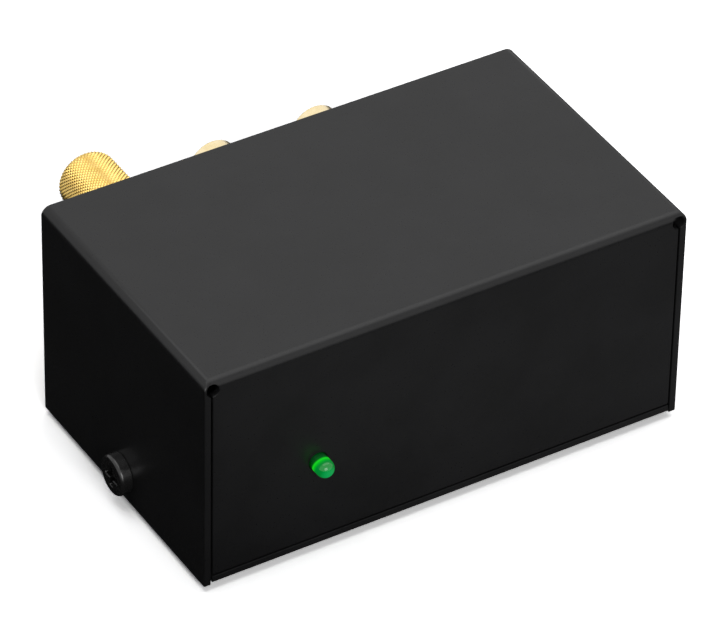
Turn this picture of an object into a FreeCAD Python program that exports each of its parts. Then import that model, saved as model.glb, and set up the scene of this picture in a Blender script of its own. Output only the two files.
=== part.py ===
import FreeCAD, Part
import os
from operator import add, mul, sub, truediv
from types import SimpleNamespace

import Sketcher
from FreeCAD import Placement, Rotation, Vector

# Phono preamp: a folded sheet box with a lamp in front and jacks, a power inlet
# and a grounding post behind. X is across, Y runs from front to back, Z is up.
# Z = 0 is the surface under the feet, and the origin is the middle of the footprint.

# Driving dimensions in millimetres
DIMENSIONS = {
    "box_width": 85.0,          # over the two side flaps of the cover
    "box_depth": 50.0,
    "box_height": 39.0,         # from the flaps' lower edge to the top
    "floor_gap": 1.1,           # under the flaps' lower edge
    "sheet_thick": 1.2,
    "bend_outer": 1.6,
    "bend_inner": 0.4,
    "fold_gap": 0.25,           # slit between the front flap and each side flap
    "seam_gap": 0.3,            # slit over the base plate's front edge, and over the rear panel
    "side_gap": 0.15,           # between the base and each side flap
    "relief_radius": 1.05,      # round corner reliefs of the cover
    "relief_inset_x": 1.5,
    "relief_inset_z": 1.7,
    "relief_depth": 1.9,
    "foot_thick": 1.5,
    "foot_radius": 4.0,
    "foot_top_radius": 3.7,
    "foot_inset_x": 8.5,
    "foot_inset_y": 7.5,
    "tab_height": 10.0,
    "tab_length": 18.0,
    "notch_width": 1.2,
    "screw_height": 5.8,
    "screw_radius": 1.75,
    "screw_hole_radius": 1.95,
    "screw_length": 6.0,
    "screw_tip_length": 0.8,
    "screw_tip_radius": 1.25,
    "screw_head_radius": 3.4,
    "screw_head_thick": 2.1,
    "screw_head_round": 0.6,
    "recess_length": 3.8,
    "recess_width": 0.95,
    "recess_depth": 1.3,
    "lamp_x": -22.7,
    "lamp_height": 17.6,
    "lamp_radius": 1.5,
    "lamp_reach": 3.3,          # in front of the panel
    "lamp_flange_radius": 1.9,
    "lamp_flange_thick": 1.0,
    "lamp_hole_radius": 1.6,
    "lamp_round": 1.45,
    "lamp_cup_radius": 0.45,
    "lead_width": 0.5,
    "lead_pitch": 1.27,
    "lead_run": 3.0,
    "tail_length": 1.6,         # of every lead below the board
    "board_width": 70.0,
    "board_front_gap": 3.0,
    "board_rear_gap": 0.3,
    "board_thick": 1.6,
    "standoff_length": 3.0,
    "standoff_radius": 2.5,
    "standoff_foot_radius": 2.1,
    "standoff_x": 31.0,
    "standoff_front": 8.0,      # behind the front panel
    "standoff_rear": 29.0,
    "board_screw_radius": 1.25,
    "board_screw_head_radius": 2.4,
    "board_screw_head_thick": 1.6,
    "board_screw_grip": 2.4,
    "board_screw_gap": 0.1,
    "input_x": -6.9,
    "output_x": 11.65,
    "jack_low": 8.05,           # lower jack's axis over the board
    "jack_pitch": 14.0,
    "jack_reach": 9.5,          # behind the rear panel
    "shell_radius": 4.2,
    "shell_wall": 0.6,
    "shell_bead": 0.35,
    "shell_root": 4.0,          # held inside the block
    "shell_root_radius": 4.0,
    "collar_radius": 5.2,
    "collar_reach": 0.6,
    "collar_gap": 0.2,
    "block_width": 11.0,
    "block_depth": 12.0,
    "block_over": 5.4,          # block above the upper jack's axis
    "insulator_recess": 0.5,
    "contact_radius": 1.95,
    "contact_bore": 1.65,
    "contact_recess": 0.9,
    "contact_length": 13.0,
    "tail_width": 1.0,
    "tail_thick": 0.5,
    "inlet_x": 30.0,
    "inlet_low": 6.5,           # inlet's axis over the board
    "inlet_width": 9.0,
    "inlet_height": 11.0,
    "inlet_depth": 13.0,
    "inlet_nose_radius": 4.1,
    "inlet_nose_reach": 0.5,
    "inlet_bore": 3.0,
    "inlet_bore_depth": 9.5,
    "inlet_pin_radius": 1.0,
    "inlet_pin_recess": 0.8,
    "spring_width": 2.0,
    "spring_thick": 0.4,
    "post_x": -26.5,
    "post_height": 30.15,
    "post_radius": 2.0,
    "post_reach": 15.5,         # from the rear panel to the nut's end
    "post_head_radius": 3.6,
    "post_head_thick": 2.4,
    "post_chamfer": 0.5,
    "washer_radius": 4.4,
    "washer_thick": 0.8,
    "star_radius": 3.7,
    "star_thick": 0.5,
    "hex_across": 7.0,
    "hex_thick": 2.2,
    "running_gap": 0.06,        # round the post, inside the nut and the clamp washer
    "rest_gap": 0.05,           # between the faces of the clamped stack
    "nut_radius": 5.1,
    "nut_round": 1.35,
    "nut_chamfer": 0.5,
    "nut_bore_depth": 10.5,
    "thread_spare": 1.0,        # between the post's end and the bottom of the nut's bore
    "lug_radius": 3.9,
    "lug_thick": 0.8,
    "lug_width": 3.0,
    "lug_length": 7.0,
    "barrel_radius": 1.3,
    "barrel_length": 4.5,
    "barrel_root": 1.0,         # of the barrel, up inside the lug's neck
    "wire_radius": 0.75,
    "wire_side": 2.5,
    "wire_forward": 9.0,
    "wire_low": 5.0,
    "wire_drop": 3.5,
    "chip_depth": 15.0,         # behind the front panel, as every depth below
    "left_chip_x": -14.0,
    "right_chip_x": 2.0,
    "socket_width": 7.6,
    "socket_length": 10.0,
    "socket_height": 4.2,
    "socket_opening_width": 3.2,
    "socket_opening_length": 6.8,
    "chip_width": 6.4,
    "chip_length": 9.6,
    "chip_height": 3.4,
    "chip_mark_radius": 0.8,
    "chip_mark_depth": 0.5,
    "leg_pitch": 2.54,
    "leg_row": 7.0,             # between the two rows of legs
    "leg_thick": 0.6,
    "leg_width": 1.0,
    "leg_height": 1.8,
    "supply_x": 24.0,
    "supply_depth": 13.0,
    "supply_radius": 5.0,
    "supply_height": 12.5,
    "ripple_x": 24.0,
    "ripple_depth": 25.5,
    "ripple_radius": 4.0,
    "ripple_height": 11.0,
    "left_output_x": 4.5,
    "right_output_x": 13.0,
    "output_depth": 28.5,
    "output_radius": 3.15,
    "output_height": 11.0,
    "can_rim": 0.4,
    "can_lift": 0.5,
    "can_bead_low": 1.2,
    "can_bead_middle": 1.6,
    "can_bead_high": 2.0,
    "can_bead_deep": 0.35,
    "can_round": 0.5,
    "film_width": 2.6,
    "film_length": 7.3,
    "film_height": 7.5,
    "film_first_x": -19.0,
    "film_pitch": 4.6,
    "film_depth": 28.0,
    "resistor_radius": 1.15,
    "resistor_length": 3.0,
    "resistor_rise": 1.7,
    "resistor_span": 4.6,
    "resistor_first_x": -17.5,
    "resistor_pitch": 6.6,
    "resistor_shift": 1.5,      # of the rear row against the front row
    "resistor_front": 6.0,
    "resistor_rear": 21.5,
    "regulator_x": 14.0,
    "plus_regulator_depth": 11.0,
    "minus_regulator_depth": 18.5,
    "regulator_radius": 2.3,
    "regulator_flat": 1.5,
    "regulator_lift": 3.0,
    "regulator_height": 4.6,
    "regulator_lead": 0.44,
    "regulator_pitch": 1.27,
    "diode_x": 30.5,
    "diode_depth": 19.5,
    "diode_rise": 1.9,
    "diode_radius": 1.35,
    "diode_length": 5.2,
    "diode_span": 9.0,
}


class Size:
    """A length that is known as a number and as a formula on the sheet's cells."""

    def __init__(self, text, number):
        self.text = text
        self.number = float(number)

    def join(self, sign, work, other, swap=False):
        other = as_size(other)
        left, right = (other, self) if swap else (self, other)
        return Size(f"({left.text} {sign} {right.text})", work(left.number, right.number))

    def __add__(self, other):
        return self.join("+", add, other)

    def __radd__(self, other):
        return self.join("+", add, other, swap=True)

    def __sub__(self, other):
        return self.join("-", sub, other)

    def __rsub__(self, other):
        return self.join("-", sub, other, swap=True)

    def __mul__(self, other):
        return self.join("*", mul, other)

    def __rmul__(self, other):
        return self.join("*", mul, other, swap=True)

    def __truediv__(self, other):
        return self.join("/", truediv, other)

    def __neg__(self):
        return self * -1


def as_size(value):
    return value if isinstance(value, Size) else Size(f"({value})", value)


doc = FreeCAD.newDocument("phono_preamp")
sheet = doc.addObject("Spreadsheet::Sheet", "dims")
for row, (alias, number) in enumerate(DIMENSIONS.items(), start=1):
    sheet.set(f"A{row}", str(number))
    sheet.setAlias(f"A{row}", alias)
doc.recompute()
d = SimpleNamespace(**{name: Size(f"dims.{name}", number) for name, number in DIMENSIONS.items()})

# Places worked out from the driving dimensions
half_width = d.box_width / 2
front = (d.lamp_reach - d.box_depth - d.post_reach) / 2
rear = front + d.box_depth
middle = front + d.box_depth / 2
rear_inside = rear - d.sheet_thick
top = d.floor_gap + d.box_height
plate_top = d.foot_thick + d.sheet_thick
base_half = half_width - d.sheet_thick - d.side_gap
board_low = plate_top + d.standoff_length
board_top = board_low + d.board_thick
board_front = front + d.board_front_gap
board_rear = rear_inside - d.board_rear_gap
tail_low = board_low - d.tail_length

TURNS = {
    "up": Rotation(),
    "back": Rotation(Vector(1, 0, 0), -90),
    "front": Rotation(Vector(1, 0, 0), 90),
    "left": Rotation(Vector(0, 1, 0), -90),
    "right": Rotation(Vector(0, 1, 0), 90),
}
nodes = []


def bind(thing, **sizes):
    """Bind a feature's lengths to formulas on the sheet."""
    for name, size in sizes.items():
        thing.setExpression(name, as_size(size).text)
    return thing


def place(thing, x=0, y=0, z=0, turn="up"):
    """Put an object at bound coordinates, with its own Z axis along a direction."""
    spot = [as_size(value) for value in (x, y, z)]
    thing.Placement = Placement(Vector(*[value.number for value in spot]), TURNS[turn])
    for axis, value in zip("xyz", spot):
        thing.setExpression(f"Placement.Base.{axis}", value.text)
    return thing


def node(thing, label):
    """Keep a finished object as one named piece of the assembly."""
    thing.Label = label
    nodes.append(thing)
    return thing


def new_body(name):
    return doc.addObject("PartDesign::Body", f"{name}_body")


def sketch(body, plane, lift=0):
    """Start a sketch on one of the body's own planes, moved along the plane's normal."""
    drawing = body.newObject("Sketcher::SketchObject", "outline")
    support = next(item for item in body.Origin.OriginFeatures if item.Role == plane)
    drawing.AttachmentSupport = (support, [""])
    drawing.MapMode = "FlatFace"
    drawing.setExpression("AttachmentOffset.Base.z", as_size(lift).text)
    return drawing


def fix_point(drawing, shape, point, x, y):
    """Hold one point of a sketch at bound coordinates."""
    for kind, value in (("DistanceX", as_size(x)), ("DistanceY", as_size(y))):
        limit = Sketcher.Constraint(kind, -1, 1, shape, point, value.number)
        drawing.setExpression(f"Constraints[{drawing.addConstraint(limit)}]", value.text)


def draw_polygon(drawing, points):
    """Draw a closed outline whose corners are all bound to the sheet."""
    points = [(as_size(x), as_size(y)) for x, y in points]
    first = drawing.GeometryCount
    corners = [Vector(x.number, y.number, 0) for x, y in points]
    for start, end in zip(corners, corners[1:] + corners[:1]):
        drawing.addGeometry(Part.LineSegment(start, end), False)
    for index, (x, y) in enumerate(points):
        line = first + index
        following = first + (index + 1) % len(points)
        drawing.addConstraint(Sketcher.Constraint("Coincident", line, 2, following, 1))
        fix_point(drawing, line, 1, x, y)


def draw_box(drawing, x_low, x_high, y_low, y_high):
    draw_polygon(drawing, [(x_low, y_low), (x_high, y_low), (x_high, y_high), (x_low, y_high)])


def draw_circle(drawing, x, y, radius):
    x, y, radius = as_size(x), as_size(y), as_size(radius)
    centre = Vector(x.number, y.number, 0)
    ring = drawing.addGeometry(Part.Circle(centre, Vector(0, 0, 1), radius.number), False)
    fix_point(drawing, ring, 3, x, y)
    size = drawing.addConstraint(Sketcher.Constraint("Radius", ring, radius.number))
    drawing.setExpression(f"Constraints[{size}]", radius.text)


def extrude(kind, drawing, length, both_ways=False, flipped=False):
    """Pad or pocket a sketch, and stop if a pocket takes nothing away."""
    body = drawing.getParentGeoFeatureGroup()
    doc.recompute()
    before = body.Shape.Volume if body.Tip else 0
    feature = body.newObject(f"PartDesign::{kind}", kind.lower())
    feature.Profile = drawing
    feature.Midplane = both_ways
    feature.Reversed = flipped
    bind(feature, Length=length)
    doc.recompute()
    if kind == "Pocket" and not body.Shape.Volume < before:
        raise ValueError(f"{body.Name}: a pocket cuts nothing")
    return feature


def round_edges(body, radius, wanted):
    """Round the edges of the body's last feature for which wanted(edge) is true."""
    doc.recompute()
    last = body.Tip
    edges = enumerate(last.Shape.Edges, start=1)
    names = [f"Edge{number}" for number, edge in edges if wanted(edge.BoundBox)]
    if not names:
        raise ValueError(f"{body.Name}: no edge to round")
    feature = body.newObject("PartDesign::Fillet", "bend")
    feature.Base = (last, names)
    bind(feature, Radius=radius)
    doc.recompute()
    return feature


def near(value, target, slack=0.01):
    return abs(value - target.number) < slack


def revolve(name, profile):
    """Turn an outline of (radius, height) corners round its own Z axis into a body."""
    body = new_body(name)
    drawing = sketch(body, "XZ_Plane")
    draw_polygon(drawing, profile)
    turned = body.newObject("PartDesign::Revolution", "revolution")
    turned.Profile = drawing
    turned.ReferenceAxis = (drawing, ["V_Axis"])
    turned.Angle = 360
    doc.recompute()
    return body


def tube(name, outer, inner, length):
    return revolve(name, [(inner, 0), (outer, 0), (outer, length), (inner, length)])


def box(x_low, x_high, y_low, y_high, z_low, z_high):
    """A block between bound coordinates."""
    block = doc.addObject("Part::Box", "block")
    bind(block, Length=x_high - x_low, Width=y_high - y_low, Height=z_high - z_low)
    return place(block, x_low, y_low, z_low)


def cylinder(radius, length, x, y, z, turn="up"):
    rod = doc.addObject("Part::Cylinder", "rod")
    bind(rod, Radius=radius, Height=length)
    return place(rod, x, y, z, turn)


def fuse(*pieces):
    joined = doc.addObject("Part::MultiFuse", "joined")
    joined.Shapes = list(pieces)
    joined.Refine = True
    return joined


def cut(base, *tools):
    result = doc.addObject("Part::Cut", "cut")
    result.Base = base
    result.Tool = tools[0] if len(tools) == 1 else fuse(*tools)
    return result


def group(*pieces):
    """Separate solids that share one node."""
    together = doc.addObject("Part::Compound", "together")
    together.Links = list(pieces)
    return together


def copies(original, spots, turn="up"):
    """Like pieces at several bound places."""
    links = []
    for x, y, z in spots:
        link = doc.addObject("App::Link", "copy")
        link.LinkedObject = original
        links.append(place(link, x, y, z, turn))
    return links


# Cover: one sheet folded into a top, a front flap and two side flaps
cover = new_body("top_cover")
outline = sketch(cover, "XY_Plane", d.floor_gap)
draw_box(outline, -half_width, half_width, front, rear)
extrude("Pad", outline, d.box_height)
round_edges(cover, d.bend_outer, lambda box: near(box.ZMin, top) and not near(box.YMin, rear))

outline = sketch(cover, "XY_Plane", d.floor_gap)
inside = half_width - d.sheet_thick
draw_box(outline, -inside, inside, front + d.sheet_thick, rear + d.sheet_thick)
extrude("Pocket", outline, d.box_height - d.sheet_thick, flipped=True)
ceiling = top - d.sheet_thick
round_edges(cover, d.bend_inner, lambda box: near(box.ZMin, ceiling) and not near(box.YMin, rear))

# The front flap ends over the base plate, and a slit parts it from each side flap
outline = sketch(cover, "XZ_Plane", -front)
flap_low = plate_top + d.seam_gap
draw_box(outline, -inside, inside, 0, flap_low)
extrude("Pocket", outline, 3 * d.sheet_thick, both_ways=True)
for side in (-1, 1):
    outline = sketch(cover, "XZ_Plane", -front)
    slit = [side * inside, side * (inside - d.fold_gap)]
    draw_box(outline, slit[0], slit[1], d.floor_gap, top - d.relief_inset_z)
    extrude("Pocket", outline, 2 * d.sheet_thick, both_ways=True)

for side in (-1, 1):
    outline = sketch(cover, "XZ_Plane", -front)
    draw_circle(outline, side * (half_width - d.relief_inset_x), top - d.relief_inset_z,
                d.relief_radius)
    extrude("Pocket", outline, 2 * d.relief_depth, both_ways=True)

outline = sketch(cover, "XZ_Plane", -front)
draw_circle(outline, d.lamp_x, d.lamp_height, d.lamp_hole_radius)
extrude("Pocket", outline, 3 * d.sheet_thick, both_ways=True)
outline = sketch(cover, "YZ_Plane")
draw_circle(outline, middle, d.screw_height, d.screw_hole_radius)
extrude("Pocket", outline, 2 * d.box_width, both_ways=True)
node(cover, "top_cover")

# Base: plate and rear panel folded from one sheet, with a tab at each side
base = new_body("base_tray")
outline = sketch(base, "YZ_Plane")
panel_top = ceiling - d.seam_gap
draw_polygon(outline, [
    (front, d.foot_thick), (rear, d.foot_thick), (rear, panel_top),
    (rear_inside, panel_top), (rear_inside, plate_top), (front, plate_top),
])
extrude("Pad", outline, 2 * base_half, both_ways=True)
round_edges(base, d.bend_outer, lambda box: near(box.YMin, rear) and near(box.ZMax, d.foot_thick))
round_edges(base, d.bend_inner, lambda box: near(box.YMin, rear_inside) and near(box.ZMax, plate_top))

round_edges(base, d.bend_inner, lambda box: (
    near(box.ZMin, panel_top) and near(box.YLength, d.sheet_thick)))

tab_front = middle - d.tab_length / 2
tab_rear = middle + d.tab_length / 2
for side in (-1, 1):
    tab_low = -base_half if side < 0 else base_half - d.sheet_thick
    tab = base.newObject("PartDesign::AdditiveBox", "tab")
    bind(tab, Length=d.sheet_thick, Width=d.tab_length, Height=d.tab_height)
    place(tab, tab_low, tab_front, d.foot_thick)
    outline = sketch(base, "XY_Plane", d.foot_thick)
    notch_deep = d.bend_outer + d.sheet_thick
    for start, end in ((tab_front - d.notch_width, tab_front), (tab_rear, tab_rear + d.notch_width)):
        draw_box(outline, side * (base_half - notch_deep), side * (base_half + d.sheet_thick), start, end)
    extrude("Pocket", outline, 4 * d.sheet_thick, both_ways=True)


def tab_bend(height):
    def wanted(box):
        long_edge = near(box.YMin, tab_front) and near(box.YMax, tab_rear)
        return long_edge and near(box.ZMin, height) and near(box.ZMax, height)
    return wanted


round_edges(base, d.bend_outer, tab_bend(d.foot_thick))
round_edges(base, d.bend_inner, tab_bend(plate_top))
outline = sketch(base, "YZ_Plane")
draw_circle(outline, middle, d.screw_height, d.screw_radius)
extrude("Pocket", outline, 2 * d.box_width, both_ways=True)

jack_heights = [board_top + d.jack_low, board_top + d.jack_low + d.jack_pitch]
jack_columns = {"input": d.input_x, "output": d.output_x}
outline = sketch(base, "XZ_Plane", -rear)
for x in jack_columns.values():
    for height in jack_heights:
        draw_circle(outline, x, height, d.collar_radius + d.collar_gap)
inlet_height = board_top + d.inlet_low
draw_circle(outline, d.inlet_x, inlet_height, d.inlet_nose_radius + d.collar_gap)
draw_circle(outline, d.post_x, d.post_height, d.post_radius)
extrude("Pocket", outline, 3 * d.sheet_thick, both_ways=True)

standoff_spots = [
    (side * d.standoff_x, front + depth)
    for side in (-1, 1) for depth in (d.standoff_front, d.standoff_rear)
]
outline = sketch(base, "XY_Plane", d.foot_thick)
for x, y in standoff_spots:
    draw_circle(outline, x, y, d.standoff_foot_radius)
extrude("Pocket", outline, 4 * d.sheet_thick, both_ways=True)
node(base, "base_tray")

# Cover screws: pan heads with a cross recess, one at each side
screw = revolve("cover_screw", [
    (0, -d.screw_length), (d.screw_tip_radius, -d.screw_length),
    (d.screw_radius, d.screw_tip_length - d.screw_length), (d.screw_radius, 0),
    (d.screw_head_radius, 0),
    (d.screw_head_radius, d.screw_head_thick), (0, d.screw_head_thick),
])
round_edges(screw, d.screw_head_round, lambda box: (
    near(box.ZMin, d.screw_head_thick) and box.XLength > d.screw_head_radius.number))
for across, along in ((d.recess_width, d.recess_length), (d.recess_length, d.recess_width)):
    slot = screw.newObject("PartDesign::SubtractiveBox", "recess")
    bind(slot, Length=across, Width=along, Height=d.recess_depth)
    place(slot, -across / 2, -along / 2, d.screw_head_thick - d.recess_depth)
screws = copies(screw, [(-half_width, middle, d.screw_height)], "left")
screws += copies(screw, [(half_width, middle, d.screw_height)], "right")
node(group(*screws), "cover_screws")

# Feet: thin rubber discs stuck under the plate
foot = revolve("rubber_foot", [
    (0, 0), (d.foot_top_radius, 0), (d.foot_radius, d.foot_thick), (0, d.foot_thick),
])
foot_spots = [
    (side * (half_width - d.foot_inset_x), y, 0)
    for side in (-1, 1) for y in (front + d.foot_inset_y, rear - d.foot_inset_y)
]
node(group(*copies(foot, foot_spots)), "rubber_feet")

# Standoffs swaged into the plate, and the screws that hold the board on them
standoff = revolve("standoff", [
    (d.board_screw_radius, 0), (d.standoff_foot_radius, 0), (d.standoff_foot_radius, d.sheet_thick),
    (d.standoff_radius, d.sheet_thick), (d.standoff_radius, d.sheet_thick + d.standoff_length),
    (d.board_screw_radius, d.sheet_thick + d.standoff_length),
])
node(group(*copies(standoff, [(x, y, d.foot_thick) for x, y in standoff_spots])), "board_standoffs")
small_screw = revolve("board_screw", [
    (0, -d.board_thick - d.board_screw_grip),
    (d.board_screw_radius, -d.board_thick - d.board_screw_grip),
    (d.board_screw_radius, 0), (d.board_screw_head_radius, 0),
    (d.board_screw_head_radius, d.board_screw_head_thick), (0, d.board_screw_head_thick),
])
round_edges(small_screw, d.board_screw_head_thick / 2, lambda box: (
    near(box.ZMin, d.board_screw_head_thick) and box.XLength > d.board_screw_head_radius.number))
node(group(*copies(small_screw, [(x, y, board_top) for x, y in standoff_spots])), "board_screws")

# Lamp: a domed lens with a flange behind the panel, on two leads from the board
lens = revolve("lamp_lens", [
    (0, -d.sheet_thick - d.lamp_flange_thick),
    (d.lamp_flange_radius, -d.sheet_thick - d.lamp_flange_thick),
    (d.lamp_flange_radius, -d.sheet_thick), (d.lamp_radius, -d.sheet_thick),
    (d.lamp_radius, d.lamp_reach), (0, d.lamp_reach),
])
round_edges(lens, d.lamp_round, lambda box: (
    near(box.ZMin, d.lamp_reach) and box.XLength > d.lamp_radius.number))
place(lens, d.lamp_x, front, d.lamp_height, "front")
lamp_back = front + d.sheet_thick + d.lamp_flange_thick
lead_rear = lamp_back + d.lead_run
half_lead = d.lead_width / 2
lamp_leads = []
for side in (-1, 1):
    x = d.lamp_x + side * d.lead_pitch / 2
    run = box(x - half_lead, x + half_lead, front, lead_rear, d.lamp_height - half_lead,
              d.lamp_height + half_lead)
    drop = box(x - half_lead, x + half_lead, lead_rear - d.lead_width, lead_rear, tail_low,
               d.lamp_height + half_lead)
    lamp_leads.append(fuse(run, drop))
cup = cylinder(d.lamp_cup_radius, d.lead_width, d.lamp_x - d.lead_pitch / 2, front,
               d.lamp_height, "front")
lamp_leads[0] = fuse(lamp_leads[0], cup)
node(group(*lamp_leads), "lamp_leads")
node(cut(lens, *lamp_leads), "lamp_lens")
board_cutters = list(lamp_leads)

# Jack blocks: two stacked jacks each, with a black housing behind the rear panel
jack_face = rear + d.jack_reach
shell_inside = d.shell_radius - d.shell_wall
shell_back = rear_inside - d.shell_root
block_front = rear_inside - d.block_depth
CHANNELS = ("right", "left")
for name, x in jack_columns.items():
    housing = box(x - d.block_width / 2, x + d.block_width / 2, block_front, rear_inside,
                  board_top, jack_heights[1] + d.block_over)
    collars = [
        cylinder(d.collar_radius, d.sheet_thick + d.collar_reach, x, rear_inside, height, "back")
        for height in jack_heights
    ]
    holes = [
        cylinder(d.shell_root_radius, d.shell_root + 2 * d.sheet_thick, x, shell_back, height, "back")
        for height in jack_heights
    ]
    holes += [
        cylinder(d.contact_radius, d.block_depth, x, block_front, height, "back")
        for height in jack_heights
    ]
    node(cut(fuse(housing, *collars), *holes), f"{name}_jack_block")

    for channel, height, side in zip(CHANNELS, jack_heights, (-1, 1)):
        length = d.shell_root + d.sheet_thick + d.jack_reach
        root = d.shell_root + d.sheet_thick + d.collar_reach
        shell = revolve("shell", [
            (shell_inside, 0), (d.shell_root_radius, 0), (d.shell_root_radius, root),
            (d.shell_radius, root), (d.shell_radius, length - d.shell_bead),
            (d.shell_radius - d.shell_bead, length), (shell_inside, length),
        ])
        node(place(shell, x, shell_back, height, "back"), f"{name}_{channel}_shell")

        fill = length - d.insulator_recess
        insulator = revolve("insulator", [
            (d.contact_radius, 0), (shell_inside, 0), (shell_inside, fill),
            (d.contact_radius, fill), (d.contact_bore, fill),
            (d.contact_bore, fill - d.contact_recess), (d.contact_radius, fill - d.contact_recess),
        ])
        node(place(insulator, x, shell_back, height, "back"), f"{name}_{channel}_insulator")

        contact_end = jack_face - d.insulator_recess - d.contact_recess
        sleeve = tube("contact", d.contact_radius, d.contact_bore, d.contact_length)
        place(sleeve, x, contact_end - d.contact_length, height, "back")
        tail_front = block_front - d.tail_thick
        stub = cylinder(d.contact_radius, contact_end - d.contact_length - tail_front, x,
                        tail_front, height, "back")
        tail_x = x + side * (d.contact_radius + d.tail_width)
        tail = box(tail_x - d.tail_width / 2, tail_x + d.tail_width / 2, tail_front, block_front,
                   tail_low, height)
        arm_ends = (x, tail_x) if side > 0 else (tail_x, x)
        arm = box(*arm_ends, tail_front, block_front, height - d.tail_width, height)
        node(fuse(sleeve, stub, arm, tail), f"{name}_{channel}_contact")
        board_cutters.append(tail)

# Power inlet: a moulded socket with a centre pin and a leaf spring
inlet_rear = rear + d.inlet_nose_reach
inlet_front = rear_inside - d.inlet_depth
inlet_half = d.inlet_width / 2
bore_end = inlet_rear - d.inlet_bore_depth
moulding = fuse(
    box(d.inlet_x - inlet_half, d.inlet_x + inlet_half, inlet_front, rear_inside,
        board_top, board_top + d.inlet_height),
    cylinder(d.inlet_nose_radius, d.sheet_thick + d.inlet_nose_reach, d.inlet_x, rear_inside,
             inlet_height, "back"),
)
bore = cylinder(d.inlet_bore, d.inlet_bore_depth, d.inlet_x, bore_end, inlet_height, "back")
pin_front = inlet_front - d.tail_thick
pin = fuse(
    cylinder(d.inlet_pin_radius, inlet_rear - d.inlet_pin_recess - pin_front, d.inlet_x, pin_front,
             inlet_height, "back"),
    box(d.inlet_x - d.tail_width, d.inlet_x + d.tail_width, pin_front, inlet_front, tail_low,
        inlet_height),
)
spring_half = d.spring_width / 2
spring_low = inlet_height - d.inlet_bore - d.spring_thick
spring = fuse(
    box(d.inlet_x - spring_half, d.inlet_x + spring_half, bore_end, rear_inside, spring_low,
        spring_low + d.spring_thick),
    box(d.inlet_x - spring_half, d.inlet_x + spring_half, bore_end, bore_end + d.spring_thick,
        tail_low, spring_low + d.spring_thick),
)
node(cut(moulding, bore, pin, spring), "inlet_body")
node(pin, "inlet_pin")
node(spring, "inlet_spring")
board_cutters += [pin, spring]

# Grounding post: a stud through the panel, locked by a nut, with a lug and washer inside
stack = [rear_inside - d.star_thick, rear_inside - d.star_thick - d.lug_thick]
head_rear = stack[1]
nut_seat = rear + d.hex_thick + d.rest_gap
nut_face = nut_seat + d.washer_thick + d.rest_gap
stud_length = nut_face + d.nut_bore_depth - d.thread_spare - head_rear
stud = revolve("ground_stud", [
    (0, -d.post_head_thick), (d.post_head_radius, -d.post_head_thick), (d.post_head_radius, 0),
    (d.post_radius, 0), (d.post_radius, stud_length - d.post_chamfer),
    (d.post_radius - d.post_chamfer, stud_length), (0, stud_length),
])
node(place(stud, d.post_x, head_rear, d.post_height, "back"), "ground_stud")
star = tube("star_washer", d.star_radius, d.post_radius, d.star_thick)
node(place(star, d.post_x, stack[0], d.post_height, "back"), "ground_star_washer")

hexagon = doc.addObject("Part::Prism", "hexagon")
hexagon.Polygon = 6
bind(hexagon, Circumradius=d.hex_across / 3 ** 0.5, Height=d.hex_thick)
place(hexagon, d.post_x, rear, d.post_height, "back")
shaft = cylinder(d.post_radius, stud_length, d.post_x, head_rear, d.post_height, "back")
node(cut(hexagon, shaft), "ground_lock_nut")

lug_low = d.post_height - d.lug_length
lug_plate = fuse(
    cylinder(d.lug_radius, d.lug_thick, d.post_x, stack[1], d.post_height, "back"),
    box(d.post_x - d.lug_width / 2, d.post_x + d.lug_width / 2, stack[1], stack[0], lug_low,
        d.post_height),
)
barrel_y = stack[0] - d.barrel_radius
wire_top = lug_low - d.barrel_length
lug_barrel = cylinder(d.barrel_radius, d.barrel_length + d.barrel_root, d.post_x, barrel_y, wire_top)
wire_hole = cylinder(d.wire_radius, d.barrel_length, d.post_x, barrel_y, wire_top)
node(cut(fuse(lug_plate, lug_barrel), shaft, wire_hole), "ground_lug")


def rounded_path(points):
    """Straight runs joined by tangent arcs, each as large as its two runs allow."""
    share = 0.45
    edges = []
    start = points[0]
    for before, corner, after in zip(points, points[1:], points[2:]):
        towards, away = (before - corner), (after - corner)
        reach = share * min(towards.Length, away.Length)
        towards.normalize()
        away.normalize()
        enter, leave = corner + towards * reach, corner + away * reach
        turn = Vector(towards).getAngle(away) / 2
        inward = (towards + away).normalize()
        centre_distance = reach / abs(Vector(towards).dot(inward))
        radius = (centre_distance ** 2 - reach ** 2) ** 0.5
        print("wire bend radius", round(radius, 2), "at half turn", round(turn, 2))
        summit = corner + inward * (centre_distance - radius)
        edges += [Part.LineSegment(start, enter).toShape(), Part.Arc(enter, summit, leave).toShape()]
        start = leave
    edges.append(Part.LineSegment(start, points[-1]).toShape())
    return Part.Wire(edges)


# Ground wire, from the lug's barrel down to the board
wire_x, wire_y = d.post_x.number, barrel_y.number
side_x = wire_x - d.wire_side.number
forward_y = wire_y - d.wire_forward.number
low_z = (board_top + d.wire_low).number
route = rounded_path([
    Vector(wire_x, wire_y, (wire_top + d.barrel_length).number),
    Vector(wire_x, wire_y, (wire_top - d.wire_drop).number),
    Vector(side_x, forward_y, low_z),
    Vector(side_x, forward_y, board_top.number),
])
section = Part.Wire(Part.makeCircle(d.wire_radius.number, route.Vertexes[0].Point, Vector(0, 0, 1)))
wire = doc.addObject("Part::Feature", "wire")
wire.Shape = route.makePipeShell([section], True, False)
node(wire, "ground_wire")

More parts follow.
